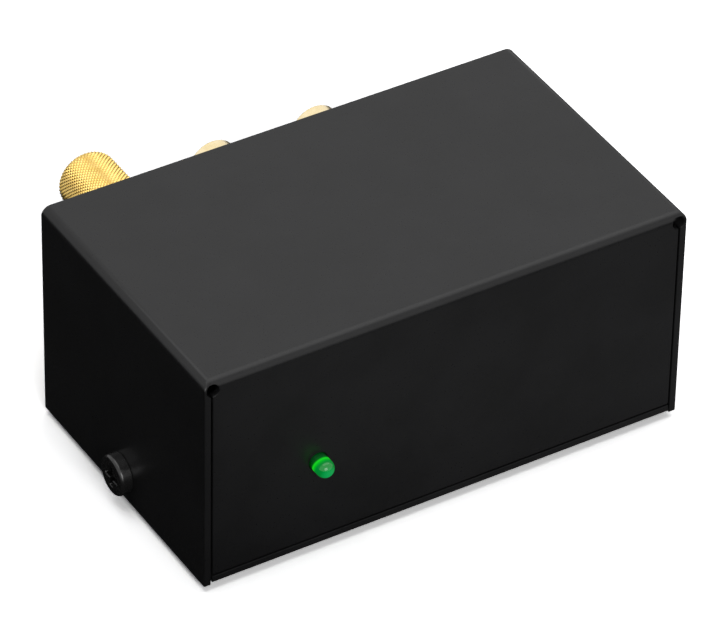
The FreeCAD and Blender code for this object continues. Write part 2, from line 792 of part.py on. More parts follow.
# Clamp washer and thumb nut, which run out and in along the post's thread
clamp = tube("clamp_washer", d.washer_radius, d.post_radius + d.running_gap, d.washer_thick)
node(place(clamp, d.post_x, nut_seat, d.post_height, "back"), "ground_clamp_washer")
nut_length = rear + d.post_reach - nut_face
nut_bore = d.post_radius + d.running_gap
nut = revolve("thumb_nut", [
    (nut_bore, 0), (d.nut_radius - d.nut_chamfer, 0), (d.nut_radius, d.nut_chamfer),
    (d.nut_radius, nut_length), (0, nut_length), (0, d.nut_bore_depth), (nut_bore, d.nut_bore_depth),
])
round_edges(nut, d.nut_round, lambda box: (
    near(box.ZMin, nut_length) and box.XLength > d.nut_radius.number))
node(place(nut, d.post_x, nut_face, d.post_height, "back"), "ground_thumb_nut")

# Amplifier chips in their sockets, one for each channel
chip_y = front + d.chip_depth
socket_top = board_top + d.socket_height
chip_top = socket_top + d.chip_height


def block_round(x, y, width, length, low, high):
    """A block of a given width and length about an upright axis."""
    return box(x - width / 2, x + width / 2, y - length / 2, y + length / 2, low, high)


for channel, x in (("left", d.left_chip_x), ("right", d.right_chip_x)):
    frame = block_round(x, chip_y, d.socket_width, d.socket_length, board_top, socket_top)
    opening = block_round(x, chip_y, d.socket_opening_width, d.socket_opening_length,
                          board_top, socket_top)
    node(cut(frame, opening), f"{channel}_chip_socket")
    case = block_round(x, chip_y, d.chip_width, d.chip_length, socket_top, chip_top)
    mark = cylinder(d.chip_mark_radius, 2 * d.chip_mark_depth, x, chip_y - d.chip_length / 2,
                    chip_top - d.chip_mark_depth)
    legs = [
        block_round(x + side * d.leg_row / 2, chip_y + step * d.leg_pitch, d.leg_thick, d.leg_width,
                    socket_top, socket_top + d.leg_height)
        for side in (-1, 1) for step in (-1.5, -0.5, 0.5, 1.5)
    ]
    node(fuse(cut(case, mark), *legs), f"{channel}_amplifier_chip")

# Electrolytic capacitors: rolled cans, beaded near the board
cans = {
    "supply_capacitor": (d.supply_x, d.supply_depth, d.supply_radius, d.supply_height),
    "ripple_capacitor": (d.ripple_x, d.ripple_depth, d.ripple_radius, d.ripple_height),
    "left_output_capacitor": (d.left_output_x, d.output_depth, d.output_radius, d.output_height),
    "right_output_capacitor": (d.right_output_x, d.output_depth, d.output_radius, d.output_height),
}
for name, (x, depth, radius, height) in cans.items():
    can = revolve(name, [
        (0, d.can_lift), (radius - d.can_rim, d.can_lift), (radius - d.can_rim, 0), (radius, 0),
        (radius, d.can_bead_low), (radius - d.can_bead_deep, d.can_bead_middle),
        (radius, d.can_bead_high), (radius, height), (0, height),
    ])
    round_edges(can, d.can_round, lambda box, height=height, radius=radius: (
        near(box.ZMin, height) and box.XLength > radius.number))
    node(place(can, x, front + depth, board_top), name)

# Film capacitors in a row between the jacks and the chips
film_names = [f"{channel}_{tone}_capacitor" for channel in ("left", "right") for tone in ("bass", "treble")]
for index, name in enumerate(film_names):
    x = d.film_first_x + index * d.film_pitch
    film = block_round(x, front + d.film_depth, d.film_width, d.film_length,
                       board_top, board_top + d.film_height)
    node(film, name)


def bent_lead(x, y, z, span, lengthwise=False):
    """A square wire that stands on the board at both ends and runs through a piece."""
    half, reach = d.lead_width / 2, span / 2
    bars = []
    for start, end, low in (
        (-reach, reach, z - half),
        (-reach, d.lead_width - reach, board_top),
        (reach - d.lead_width, reach, board_top),
    ):
        if lengthwise:
            bars.append(box(x - half, x + half, y + start, y + end, low, z + half))
        else:
            bars.append(box(x + start, x + end, y - half, y + half, low, z + half))
    return bars


# Resistors, in two rows of six
resistors = []
for row, depth in enumerate((d.resistor_front, d.resistor_rear)):
    for column in range(6):
        x = d.resistor_first_x + column * d.resistor_pitch + row * d.resistor_shift
        y = front + depth
        z = board_top + d.resistor_rise
        coated = cylinder(d.resistor_radius, d.resistor_length, x - d.resistor_length / 2, y, z, "right")
        resistors.append(fuse(coated, *bent_lead(x, y, z, d.resistor_span)))
node(group(*resistors), "resistors")

# Regulators: small moulded cases with one flat side, standing on three leads
regulator_low = board_top + d.regulator_lift
regulator_top = regulator_low + d.regulator_height
for name, depth in (("plus_regulator", d.plus_regulator_depth), ("minus_regulator", d.minus_regulator_depth)):
    x, y = d.regulator_x, front + depth
    flat = y - d.regulator_flat
    shaving = box(x - 2 * d.regulator_radius, x + 2 * d.regulator_radius,
                  flat - 2 * d.regulator_radius, flat, regulator_low, regulator_top)
    case = cut(cylinder(d.regulator_radius, d.regulator_height, x, y, regulator_low), shaving)
    leads = [
        block_round(x + step * d.regulator_pitch, y, d.regulator_lead, d.regulator_lead,
                    board_top, regulator_low)
        for step in (-1, 0, 1)
    ]
    node(fuse(case, *leads), name)

# Input diode, which guards against a reversed plug
diode_y = front + d.diode_depth
diode_z = board_top + d.diode_rise
sleeve = cylinder(d.diode_radius, d.diode_length, d.diode_x, diode_y - d.diode_length / 2,
                  diode_z, "back")
node(fuse(sleeve, *bent_lead(d.diode_x, diode_y, diode_z, d.diode_span, lengthwise=True)), "guard_diode")

# Circuit board, holed for its screws and for every lead that passes through it
board = new_body("circuit_board")
outline = sketch(board, "XY_Plane", board_low)
draw_box(outline, -d.board_width / 2, d.board_width / 2, board_front, board_rear)
extrude("Pad", outline, d.board_thick)
outline = sketch(board, "XY_Plane", board_low)
for x, y in standoff_spots:
    draw_circle(outline, x, y, d.board_screw_radius + d.board_screw_gap)
extrude("Pocket", outline, 4 * d.board_thick, both_ways=True)
node(cut(board, *board_cutters), "circuit_board")

doc.recompute()
for item in doc.Objects:
    if {"Invalid", "Error"} & set(item.State):
        raise RuntimeError(f"{item.Name} ({item.Label}) failed: {item.State}")
os.makedirs("parts", exist_ok=True)
for piece in nodes:
    shape = piece.Shape
    if shape.isNull() or not shape.isValid() or not shape.Solids:
        raise RuntimeError(f"{piece.Label}: bad shape")
    shape.exportStep(f"parts/{piece.Label}.step")
    print(f"{piece.Label:26} solids {len(shape.Solids):3} volume {shape.Volume:10.2f}")
print(len(nodes), "nodes, origin to front", round(front.number, 3), "rear", round(rear.number, 3))
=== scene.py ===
from math import cos, pi, radians, sin, tau

import bmesh
import bpy
from mathutils import Matrix, Vector


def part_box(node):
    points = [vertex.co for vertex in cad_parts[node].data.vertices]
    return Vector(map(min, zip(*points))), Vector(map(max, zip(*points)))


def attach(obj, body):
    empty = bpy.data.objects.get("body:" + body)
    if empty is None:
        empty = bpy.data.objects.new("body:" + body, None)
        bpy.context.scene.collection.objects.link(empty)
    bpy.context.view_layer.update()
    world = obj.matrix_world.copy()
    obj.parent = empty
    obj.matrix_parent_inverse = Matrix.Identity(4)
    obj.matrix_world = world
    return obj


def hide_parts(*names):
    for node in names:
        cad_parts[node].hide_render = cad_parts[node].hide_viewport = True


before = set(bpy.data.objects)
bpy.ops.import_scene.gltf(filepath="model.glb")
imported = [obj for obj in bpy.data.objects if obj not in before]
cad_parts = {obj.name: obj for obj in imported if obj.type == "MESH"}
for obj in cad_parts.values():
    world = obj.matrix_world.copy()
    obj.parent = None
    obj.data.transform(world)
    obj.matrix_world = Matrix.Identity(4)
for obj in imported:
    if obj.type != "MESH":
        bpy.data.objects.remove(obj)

for leftover in ("Cube", "Light", "Camera"):
    if leftover in bpy.data.objects:
        bpy.data.objects.remove(bpy.data.objects[leftover])
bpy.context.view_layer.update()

# Base tray: a plate and a rear panel folded from one sheet of steel 1.2 mm thick,
# with a tab for a screw at each side. It is powder coated black before assembly,
# so the coat runs over every cut edge and rounds it.
MM = 0.001


def finish(name, colour, roughness, **sockets):
    """A material whose shader has these plain values; a socket's name has _ for its spaces."""
    material = bpy.data.materials.new(name)
    material.use_nodes = True
    shader = material.node_tree.nodes["Principled BSDF"]
    shader.inputs["Base Color"].default_value = (*colour, 1)
    shader.inputs["Roughness"].default_value = roughness
    for socket, value in sockets.items():
        shader.inputs[socket.replace("_", " ")].default_value = value
    return material


def wire(material, kind, inputs=None, **settings):
    """Add a node; an input's value is a number, a colour or another node's output."""
    made = material.node_tree.nodes.new(f"ShaderNode{kind}")
    for key, value in settings.items():
        setattr(made, key, value)
    for key, value in (inputs or {}).items():
        if isinstance(value, bpy.types.NodeSocket):
            material.node_tree.links.new(value, made.inputs[key])
        else:
            made.inputs[key].default_value = value
    return made.outputs[0]


def feed(material, socket, source):
    """Link a node's output to a socket of the material's shader."""
    shader = material.node_tree.nodes["Principled BSDF"]
    material.node_tree.links.new(source, shader.inputs[socket])


def spot(material):
    """The place on the object, in metres."""
    return wire(material, "TexCoord").node.outputs["Object"]


def speckle(material, size, detail=3.0):
    """Fine random variation, from 0 to 1, whose grains are about size metres across."""
    return wire(material, "TexNoise", {"Vector": spot(material), "Scale": 1 / size, "Detail": detail})


def span(material, value, low, high, from_low=0.3, from_high=0.7):
    """A value stretched to run from low to high."""
    return wire(material, "MapRange", {
        "Value": value, "From Min": from_low, "From Max": from_high, "To Min": low, "To Max": high})


def shades(material, value, stops):
    """A colour that follows a value through stops of (position, colour)."""
    node = material.node_tree.nodes.new("ShaderNodeValToRGB")
    material.node_tree.links.new(value, node.inputs[0])
    ramp = node.color_ramp
    while len(ramp.elements) < len(stops):
        ramp.elements.new(1.0)
    for element, (position, colour) in zip(ramp.elements, stops):
        element.position = position
        element.color = (*colour, 1)
    return node.outputs[0]


def relief(material, height, depth):
    """Raise and sink the surface by depth metres where height runs from 0 to 1."""
    return wire(material, "Bump", {"Height": height, "Distance": depth})


def surface(material, grain, rough, depth, colours, cloud=4 * MM):
    """Give a finish its texture: grain size, roughness range, depth, and two shades in clouds."""
    fine = speckle(material, grain)
    feed(material, "Roughness", span(material, fine, *rough))
    feed(material, "Normal", relief(material, fine, depth))
    broad = speckle(material, cloud, 2.0)
    feed(material, "Base Color", shades(material, broad, [(0.35, colours[0]), (0.65, colours[1])]))


def form_of(node):
    """A copy of a node's mesh with its corners merged and its flat faces joined."""
    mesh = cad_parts[node].data.copy()
    for name in ("custom_normal", "sharp_edge", "sharp_face"):
        if name in mesh.attributes:
            mesh.attributes.remove(mesh.attributes[name])
    form = bmesh.new()
    form.from_mesh(mesh)
    bmesh.ops.remove_doubles(form, verts=form.verts, dist=1e-6)
    bmesh.ops.dissolve_limit(form, angle_limit=radians(0.4), verts=form.verts, edges=form.edges)
    form.to_mesh(mesh)
    form.free()
    mesh.materials.clear()
    return mesh


def baked(thing):
    """The mesh that an object's modifiers make of it."""
    return bpy.data.meshes.new_from_object(thing.evaluated_get(bpy.context.evaluated_depsgraph_get()))


def eased(mesh, width, segments=2, angle=35):
    """Round a mesh's sharp edges by a real bevel of the given width."""
    holder = bpy.data.objects.new("eased", mesh)
    bpy.context.scene.collection.objects.link(holder)
    bevel = holder.modifiers.new("edges", "BEVEL")
    bevel.width = width
    bevel.segments = segments
    bevel.limit_method = "ANGLE"
    bevel.angle_limit = radians(angle)
    bevel.use_clamp_overlap = False
    result = baked(holder)
    bpy.data.objects.remove(holder)
    return result


def piece(name, mesh, body, material, stands_for, smooth=35):
    """Put a finished mesh, evenly shaded, in place of a CAD node, riding on its body."""
    if not mesh.materials:
        mesh.materials.append(material)
    mesh.shade_smooth()
    mesh.set_sharp_from_angle(angle=radians(smooth))
    thing = bpy.data.objects.new(name, mesh)
    bpy.context.scene.collection.objects.link(thing)
    even = thing.modifiers.new("even", "WEIGHTED_NORMAL")
    even.keep_sharp = True
    even.weight = 100
    thing.data = baked(thing)
    thing.modifiers.clear()
    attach(thing, body)
    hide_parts(stands_for)


COAT_EDGE = 0.2 * MM
powder_coat = finish("black_powder_coat", (0.012, 0.012, 0.0126), 0.32, Specular_IOR_Level=0.3)
surface(powder_coat, 0.3 * MM, (0.27, 0.37), 0.003 * MM,
        ((0.0105, 0.0105, 0.011), (0.014, 0.014, 0.0147)), 9 * MM)
piece("base_sheet", eased(form_of("base_tray"), COAT_EDGE), "chassis", powder_coat, "base_tray")

# Feet: four soft black rubber discs, moulded with a shallow dish below
# and stuck under the plate with their own glue.
foot_low, foot_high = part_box("rubber_feet")


def turned(profile, steps=48):
    """Turn (radius, height) points round Z; a radius of 0 closes on a single point."""
    form = bmesh.new()
    rings = []
    for radius, height in profile:
        if radius < 1e-9:
            rings.append([form.verts.new((0, 0, height))])
            continue
        angles = [tau * step / steps for step in range(steps)]
        rings.append([form.verts.new((radius * cos(a), radius * sin(a), height)) for a in angles])
    for lower, upper in zip(rings, rings[1:]):
        for step in range(steps):
            after = (step + 1) % steps
            corners = [lower[step % len(lower)], lower[after % len(lower)],
                       upper[after % len(upper)], upper[step % len(upper)]]
            form.faces.new(list(dict.fromkeys(corners)))
    bmesh.ops.recalc_face_normals(form, faces=form.faces)
    mesh = bpy.data.meshes.new("turned")
    form.to_mesh(mesh)
    form.free()
    return mesh


def arc(radius, centre_r, centre_z, start, end, steps=6):
    """Points of a rounded corner, from one angle to another in degrees."""
    angles = [radians(start + (end - start) * step / steps) for step in range(steps + 1)]
    return [(centre_r + radius * cos(a), centre_z + radius * sin(a)) for a in angles]


def set_out_tree():
    """A tree that puts a piece on every point, its Z along outward and its X along across."""
    tree = bpy.data.node_groups.new("set_out", "GeometryNodeTree")
    plugs = tree.interface
    plugs.new_socket("Geometry", in_out="INPUT", socket_type="NodeSocketGeometry")
    plugs.new_socket("Piece", in_out="INPUT", socket_type="NodeSocketObject")
    plugs.new_socket("Finish", in_out="INPUT", socket_type="NodeSocketMaterial")
    plugs.new_socket("Geometry", in_out="OUTPUT", socket_type="NodeSocketGeometry")

    def step(kind, **settings):
        made = tree.nodes.new(kind)
        for key, value in settings.items():
            setattr(made, key, value)
        return made

    start, end = step("NodeGroupInput"), step("NodeGroupOutput")
    thing = step("GeometryNodeObjectInfo")
    outward = step("GeometryNodeInputNamedAttribute", data_type="FLOAT_VECTOR")
    across = step("GeometryNodeInputNamedAttribute", data_type="FLOAT_VECTOR")
    outward.inputs["Name"].default_value = "outward"
    across.inputs["Name"].default_value = "across"
    stand = step("FunctionNodeAlignRotationToVector", axis="Z")
    turn = step("FunctionNodeAlignRotationToVector", axis="X", pivot_axis="Z")
    instances = step("GeometryNodeInstanceOnPoints")
    real = step("GeometryNodeRealizeInstances")
    paint = step("GeometryNodeSetMaterial")
    for source, target in (
        (start.outputs["Geometry"], instances.inputs["Points"]),
        (start.outputs["Piece"], thing.inputs["Object"]),
        (thing.outputs["Geometry"], instances.inputs["Instance"]),
        (outward.outputs["Attribute"], stand.inputs["Vector"]),
        (stand.outputs["Rotation"], turn.inputs["Rotation"]),
        (across.outputs["Attribute"], turn.inputs["Vector"]),
        (turn.outputs["Rotation"], instances.inputs["Rotation"]),
        (instances.outputs["Instances"], real.inputs["Geometry"]),
        (real.outputs["Geometry"], paint.inputs["Geometry"]),
        (start.outputs["Finish"], paint.inputs["Material"]),
        (paint.outputs["Geometry"], end.inputs["Geometry"]),
    ):
        tree.links.new(source, target)
    return tree


SET_OUT = set_out_tree()


def set_out(mesh, places, material):
    """One mesh of a piece at many places; a place is (point, outward, across)."""
    points = bpy.data.meshes.new("points")
    points.from_pydata([place[0] for place in places], [], [])
    for index, name in ((1, "outward"), (2, "across")):
        values = points.attributes.new(name, "FLOAT_VECTOR", "POINT")
        values.data.foreach_set("vector", [n for place in places for n in place[index]])
    pattern = bpy.data.objects.new("pattern", mesh)
    carrier = bpy.data.objects.new("carrier", points)
    for thing in (pattern, carrier):
        bpy.context.scene.collection.objects.link(thing)
    grow = carrier.modifiers.new("grow", "NODES")
    grow.node_group = SET_OUT
    given = {"Piece": pattern, "Finish": material}
    for item in SET_OUT.interface.items_tree:
        if item.in_out == "INPUT" and item.name in given:
            grow[item.identifier] = given[item.name]
    bpy.context.view_layer.update()
    result = baked(carrier)
    carrier.modifiers.clear()
    for thing in (pattern, carrier):
        bpy.data.objects.remove(thing)
    return result


UP, RIGHT = Vector((0, 0, 1)), Vector((1, 0, 0))
FOOT_RADIUS, FOOT_THICK, FOOT_ROUND, FOOT_TAPER = 4.0 * MM, 1.5 * MM, 0.45 * MM, 0.3 * MM
DISH_FLOOR, DISH_RIM, DISH_DEEP = 1.6 * MM, 2.0 * MM, 0.25 * MM
foot_profile = [(0, DISH_DEEP), (DISH_FLOOR, DISH_DEEP), (DISH_RIM, 0.0)]
foot_profile += arc(FOOT_ROUND, FOOT_RADIUS - FOOT_TAPER - FOOT_ROUND, FOOT_ROUND, -90, 0)
foot_profile += [(FOOT_RADIUS, FOOT_THICK), (0, FOOT_THICK)]
rubber = finish("black_rubber", (0.02, 0.02, 0.02), 0.8, Specular_IOR_Level=0.3)
surface(rubber, 0.2 * MM, (0.7, 0.9), 0.01 * MM, ((0.014, 0.014, 0.014), (0.026, 0.026, 0.026)))
foot_spots = [
    (Vector((x, y, 0)), UP, RIGHT)
    for x in (foot_low.x + FOOT_RADIUS, foot_high.x - FOOT_RADIUS)
    for y in (foot_low.y + FOOT_RADIUS, foot_high.y - FOOT_RADIUS)
]
piece("feet", set_out(turned(foot_profile), foot_spots, rubber), "chassis", rubber, "rubber_feet")

# Standoffs and board screws: turned and swaged steel spacers, with small pan
# screws down into them. Both are zinc plated, slightly cloudy and bluish.
zinc = finish("zinc_steel", (0.6, 0.61, 0.6), 0.35, Metallic=1.0)
surface(zinc, 0.5 * MM, (0.26, 0.46), 0.003 * MM, ((0.5, 0.52, 0.54), (0.68, 0.67, 0.63)), 1.5 * MM)
for node in ("board_standoffs", "board_screws"):
    piece(f"{node}_turned", eased(form_of(node), 0.1 * MM), "chassis", zinc, node)

# Circuit board: 1.6 mm glass laminate under green solder mask. Its copper
# tracks show as a slightly raised, lighter pattern below the mask.
TRACK_PITCH = 1.27 * MM
mask = finish("green_board", (0.01, 0.11, 0.035), 0.3, Coat_Weight=0.4, Coat_Roughness=0.2)
tracks = wire(mask, "TexBrick", {
    "Vector": spot(mask), "Scale": 1.0, "Mortar Size": 0.16 * TRACK_PITCH, "Mortar Smooth": 0.1,
    "Brick Width": 5 * TRACK_PITCH, "Row Height": TRACK_PITCH,
    "Color1": (0, 0, 0, 1), "Color2": (0, 0, 0, 1), "Mortar": (1, 1, 1, 1)})
feed(mask, "Base Color", shades(mask, tracks, [
    (0.0, (0.006, 0.075, 0.024)), (1.0, (0.02, 0.19, 0.05))]))
weave = speckle(mask, 0.3 * MM)
feed(mask, "Roughness", span(mask, weave, 0.24, 0.4))
feed(mask, "Normal", relief(mask, tracks, 0.035 * MM))
piece("board", eased(form_of("circuit_board"), 0.08 * MM), "chassis", mask, "circuit_board")

# Chips: eight-leg amplifiers moulded in black epoxy, each pressed into
# a black socket. The legs are part of the same outline and are tinned.
epoxy = finish("black_epoxy", (0.02, 0.02, 0.021), 0.5, Specular_IOR_Level=0.4)
surface(epoxy, 0.12 * MM, (0.42, 0.62), 0.008 * MM, ((0.015, 0.015, 0.016), (0.03, 0.03, 0.031)))
tin = finish("tinned_wire", (0.7, 0.7, 0.68), 0.3, Metallic=1.0)
surface(tin, 0.25 * MM, (0.2, 0.42), 0.004 * MM, ((0.6, 0.6, 0.58), (0.76, 0.76, 0.74)), 0.8 * MM)


def two_tone(mesh, main, second, wanted):
    """Give a mesh one material, and a second one on the faces whose middles are wanted."""
    mesh.materials.append(main)
    mesh.materials.append(second)
    for face in mesh.polygons:
        if wanted(face.center):
            face.material_index = 1
    return mesh


LEG_OUT, HAIR = 0.6 * MM, 0.01 * MM
for channel in ("left", "right"):
    socket = eased(form_of(f"{channel}_chip_socket"), 0.12 * MM)
    piece(f"{channel}_socket_frame", socket, "chassis", epoxy, f"{channel}_chip_socket")
    low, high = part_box(f"{channel}_amplifier_chip")
    case_half = (high.x - low.x) / 2 - LEG_OUT
    chip = two_tone(form_of(f"{channel}_amplifier_chip"), epoxy, tin,
                    lambda point: abs(point.x - (low.x + high.x) / 2) > case_half + HAIR)
    piece(f"{channel}_chip", eased(chip, 0.1 * MM), "chassis", epoxy, f"{channel}_amplifier_chip")

# Electrolytic capacitors: rolled aluminium cans in a dark shrink sleeve, which
# has a pale stripe down the minus side and leaves the top bare.
can_metal = finish("can_metal", (0.72, 0.73, 0.74), 0.3, Metallic=1.0)
surface(can_metal, 0.3 * MM, (0.22, 0.4), 0.004 * MM, ((0.62, 0.63, 0.65), (0.78, 0.79, 0.8)), 1.2 * MM)
STRIPE_FROM = 0.82       # of the radius


def axes(material, place):
    """The X, Y and Z of a place."""
    return wire(material, "SeparateXYZ", {0: place}).node.outputs


for node in ("supply_capacitor", "ripple_capacitor", "left_output_capacitor", "right_output_capacitor"):
    low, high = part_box(node)
    centre, radius = (low + high) / 2, (high.x - low.x) / 2
    sleeve = finish(f"{node}_sleeve", (0.02, 0.022, 0.04), 0.3, Coat_Weight=0.3)
    centred = wire(sleeve, "Mapping", {"Vector": spot(sleeve), "Location": (-centre.x, -centre.y, 0)})
    stripe = wire(sleeve, "Math", {0: axes(sleeve, centred)["X"], 1: -STRIPE_FROM * radius},
                  operation="LESS_THAN")
    feed(sleeve, "Base Color", shades(sleeve, stripe, [
        (0.4, (0.014, 0.016, 0.03)), (0.6, (0.42, 0.44, 0.48))]))
    wrinkles = speckle(sleeve, 1.4 * MM, 4.0)
    feed(sleeve, "Roughness", span(sleeve, wrinkles, 0.22, 0.4))
    feed(sleeve, "Normal", relief(sleeve, wrinkles, 0.02 * MM))
    can = two_tone(form_of(node), sleeve, can_metal, lambda point: point.z > high.z - HAIR)
    piece(f"{node}_can", can, "chassis", sleeve, node)

# Film capacitors: wound film cast into small boxes of red epoxy with soft corners.
# Four stand in a row, two for each channel.
film_red = finish("film_capacitor_red", (0.42, 0.03, 0.02), 0.35, Coat_Weight=0.25)
surface(film_red, 0.5 * MM, (0.28, 0.45), 0.01 * MM, ((0.36, 0.022, 0.016), (0.48, 0.04, 0.026)))
for channel in ("left", "right"):
    for tone in ("bass", "treble"):
        node = f"{channel}_{tone}_capacitor"
        film = eased(form_of(node), 0.35 * MM, segments=4)
        piece(f"{channel}_{tone}_film", film, "chassis", film_red, node)

# Resistors: ceramic rods under blue lacquer with five colour bands, on tinned
# leads bent down to the board. The bands are generic codes.
lacquer = finish("resistor_coat", (0.3, 0.45, 0.6), 0.3, Coat_Weight=0.5, Coat_Roughness=0.1)
along = lacquer.node_tree.nodes.new("ShaderNodeAttribute")
along.attribute_name = "along"
BLUE, BROWN, BLACK, ORANGE, RED = (
    (0.19, 0.38, 0.55), (0.09, 0.03, 0.01), (0.01, 0.01, 0.01), (0.8, 0.22, 0.02), (0.5, 0.02, 0.02))
bands, covered = [], 0.0
for colour, width in ((BLUE, 0.13), (BROWN, 0.09), (BLUE, 0.07), (BLACK, 0.09), (BLUE, 0.07), (BLACK, 0.09),
                      (BLUE, 0.07), (ORANGE, 0.09), (BLUE, 0.12), (RED, 0.09), (BLUE, 0.09)):
    bands.append((covered, colour))
    covered += width
painted = shades(lacquer, along.outputs["Fac"], bands)
painted.node.color_ramp.interpolation = "CONSTANT"
feed(lacquer, "Base Color", painted)
bumps = speckle(lacquer, 0.7 * MM)
feed(lacquer, "Roughness", span(lacquer, bumps, 0.2, 0.36))
feed(lacquer, "Normal", relief(lacquer, bumps, 0.02 * MM))
ROD_LENGTH, LEAD_SPAN, SHARE_SLACK = 3.0 * MM, 4.6 * MM, 0.01
half_rod = ROD_LENGTH / LEAD_SPAN / 2
rods = form_of("resistors")
form = bmesh.new()
form.from_mesh(rods)
along_rod = form.verts.layers.float.new("along")
done = set()
for seed in form.verts:
    if seed in done:
        continue
    island, reached = [seed], {seed}
    for vert in island:
        for link in vert.link_edges:
            other = link.other_vert(vert)
            if other not in reached:
                reached.add(other)
                island.append(other)
    done |= reached
    left_end = min(vert.co.x for vert in island)
    whole = max(vert.co.x for vert in island) - left_end
    for vert in island:
        vert[along_rod] = (vert.co.x - left_end) / whole
form.to_mesh(rods)
form.free()
rods.materials.append(lacquer)
rods.materials.append(tin)
shares = rods.attributes["along"].data
for face in rods.polygons:
    share = sum(shares[corner].value for corner in face.vertices) / len(face.vertices)
    if abs(share - 0.5) > half_rod + SHARE_SLACK:
        face.material_index = 1
for item in shares:
    item.value = 0.5 + (item.value - 0.5) / (2 * half_rod)
piece("resistor_rods", rods, "chassis", lacquer, "resistors")

# Regulators and guard diode: black epoxy moulded round tinned leads.
# The diode has a pale ring at its minus end.
REGULATOR_LEG = 3.0 * MM
for node in ("plus_regulator", "minus_regulator"):
    low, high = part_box(node)
    case = two_tone(form_of(node), epoxy, tin, lambda point: point.z < low.z + REGULATOR_LEG - HAIR)
    piece(f"{node}_case", eased(case, 0.12 * MM), "chassis", epoxy, node)
DIODE_HALF, RING_PLACE, RING_HALF = 2.6 * MM, 1.9 * MM, 0.35 * MM
low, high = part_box("guard_diode")
diode_y = (low.y + high.y) / 2
ringed = finish("diode_epoxy", (0.02, 0.02, 0.02), 0.4)
minus_ring = wire(ringed, "Math", {
    0: axes(ringed, spot(ringed))["Y"], 1: diode_y + RING_PLACE, 2: RING_HALF}, operation="COMPARE")
feed(ringed, "Base Color", shades(ringed, minus_ring, [(0.4, (0.016, 0.016, 0.016)), (0.6, (0.5, 0.5, 0.5))]))
grit = speckle(ringed, 0.15 * MM)
feed(ringed, "Roughness", span(ringed, grit, 0.36, 0.55))
feed(ringed, "Normal", relief(ringed, grit, 0.008 * MM))
diode = two_tone(form_of("guard_diode"), ringed, tin,
                 lambda point: abs(point.y - diode_y) > DIODE_HALF + HAIR)
piece("diode_case", eased(diode, 0.08 * MM), "chassis", ringed, "guard_diode")

# Jack blocks: black moulded housings behind the rear panel, with a collar round
# each jack that stands in its hole in the sheet.
moulded = finish("black_plastic", (0.018, 0.018, 0.018), 0.4, Specular_IOR_Level=0.45)
surface(moulded, 0.22 * MM, (0.34, 0.5), 0.01 * MM, ((0.014, 0.014, 0.014), (0.024, 0.024, 0.024)))
for row in ("input", "output"):
    block = eased(form_of(f"{row}_jack_block"), 0.15 * MM)
    piece(f"{row}_block", block, "chassis", moulded, f"{row}_jack_block")

# Jacks: shells turned from brass with a rolled lip, gold plated over nickel.
# A coloured insulator inside marks the channel, red for right and white for left,
# and holds a split gold contact.
gold = finish("gold_plate", (0.93, 0.77, 0.47), 0.27, Metallic=1.0)
surface(gold, 0.6 * MM, (0.22, 0.32), 0.0006 * MM, ((0.89, 0.73, 0.42), (0.97, 0.82, 0.53)), 2 * MM)
red = finish("red_plastic", (0.55, 0.012, 0.012), 0.3, Coat_Weight=0.2)
surface(red, 0.3 * MM, (0.24, 0.38), 0.005 * MM, ((0.48, 0.01, 0.01), (0.62, 0.016, 0.014)))
white = finish("white_plastic", (0.78, 0.77, 0.73), 0.3, Coat_Weight=0.2)
surface(white, 0.3 * MM, (0.24, 0.38), 0.005 * MM, ((0.72, 0.71, 0.66), (0.82, 0.81, 0.78)))


def stood(mesh, x, y, z, turn):
    """Turn a mesh made round Z to point along a direction, and move it to its place."""
    mesh.transform(Matrix.Translation((x, y, z)) @ turn)
    return mesh


def joined(*meshes, weld=True):
    """One mesh made of several, whose meeting corners are merged unless weld is False."""
    form = bmesh.new()
    for mesh in meshes:
        form.from_mesh(mesh)
    if weld:
        bmesh.ops.remove_doubles(form, verts=form.verts, dist=1e-7)
        bmesh.ops.recalc_face_normals(form, faces=form.faces)
    result = bpy.data.meshes.new("joined")
    form.to_mesh(result)
    form.free()
    return result


TO_BACK = Matrix.Rotation(radians(-90), 4, "X")
SHELL_WALL, SHELL_EDGE, LIP = 0.6 * MM, 0.08 * MM, 0.22 * MM
ROOT_STEP, ROOT_LENGTH = 0.2 * MM, 5.8 * MM
for row in ("input", "output"):
    for channel, plastic in (("right", red), ("left", white)):
        low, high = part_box(f"{row}_{channel}_shell")
        x, z = (low.x + high.x) / 2, (low.z + high.z) / 2
        outer, length = (high.x - low.x) / 2, high.y - low.y
        inner, root = outer - SHELL_WALL, outer - ROOT_STEP
        shell_profile = [(inner, 0), (root, 0), (root, ROOT_LENGTH), (outer - SHELL_EDGE, ROOT_LENGTH),
                         (outer, ROOT_LENGTH + SHELL_EDGE)]
        shell_profile += arc(LIP, outer - LIP, length - LIP, 0, 90)
        shell_profile += arc(LIP, inner + LIP, length - LIP, 90, 180)
        shell_profile += [(inner, 0)]
        shell = joined(stood(turned(shell_profile, steps=96), x, low.y, z, TO_BACK))
        piece(f"{row}_{channel}_gold_shell", shell, "chassis", gold, f"{row}_{channel}_shell")
        insulator = eased(form_of(f"{row}_{channel}_insulator"), 0.08 * MM)
        piece(f"{row}_{channel}_ring", insulator, "chassis", plastic, f"{row}_{channel}_insulator")
        contact = eased(form_of(f"{row}_{channel}_contact"), 0.04 * MM, segments=1)
        piece(f"{row}_{channel}_spring_contact", contact, "chassis", gold, f"{row}_{channel}_contact")

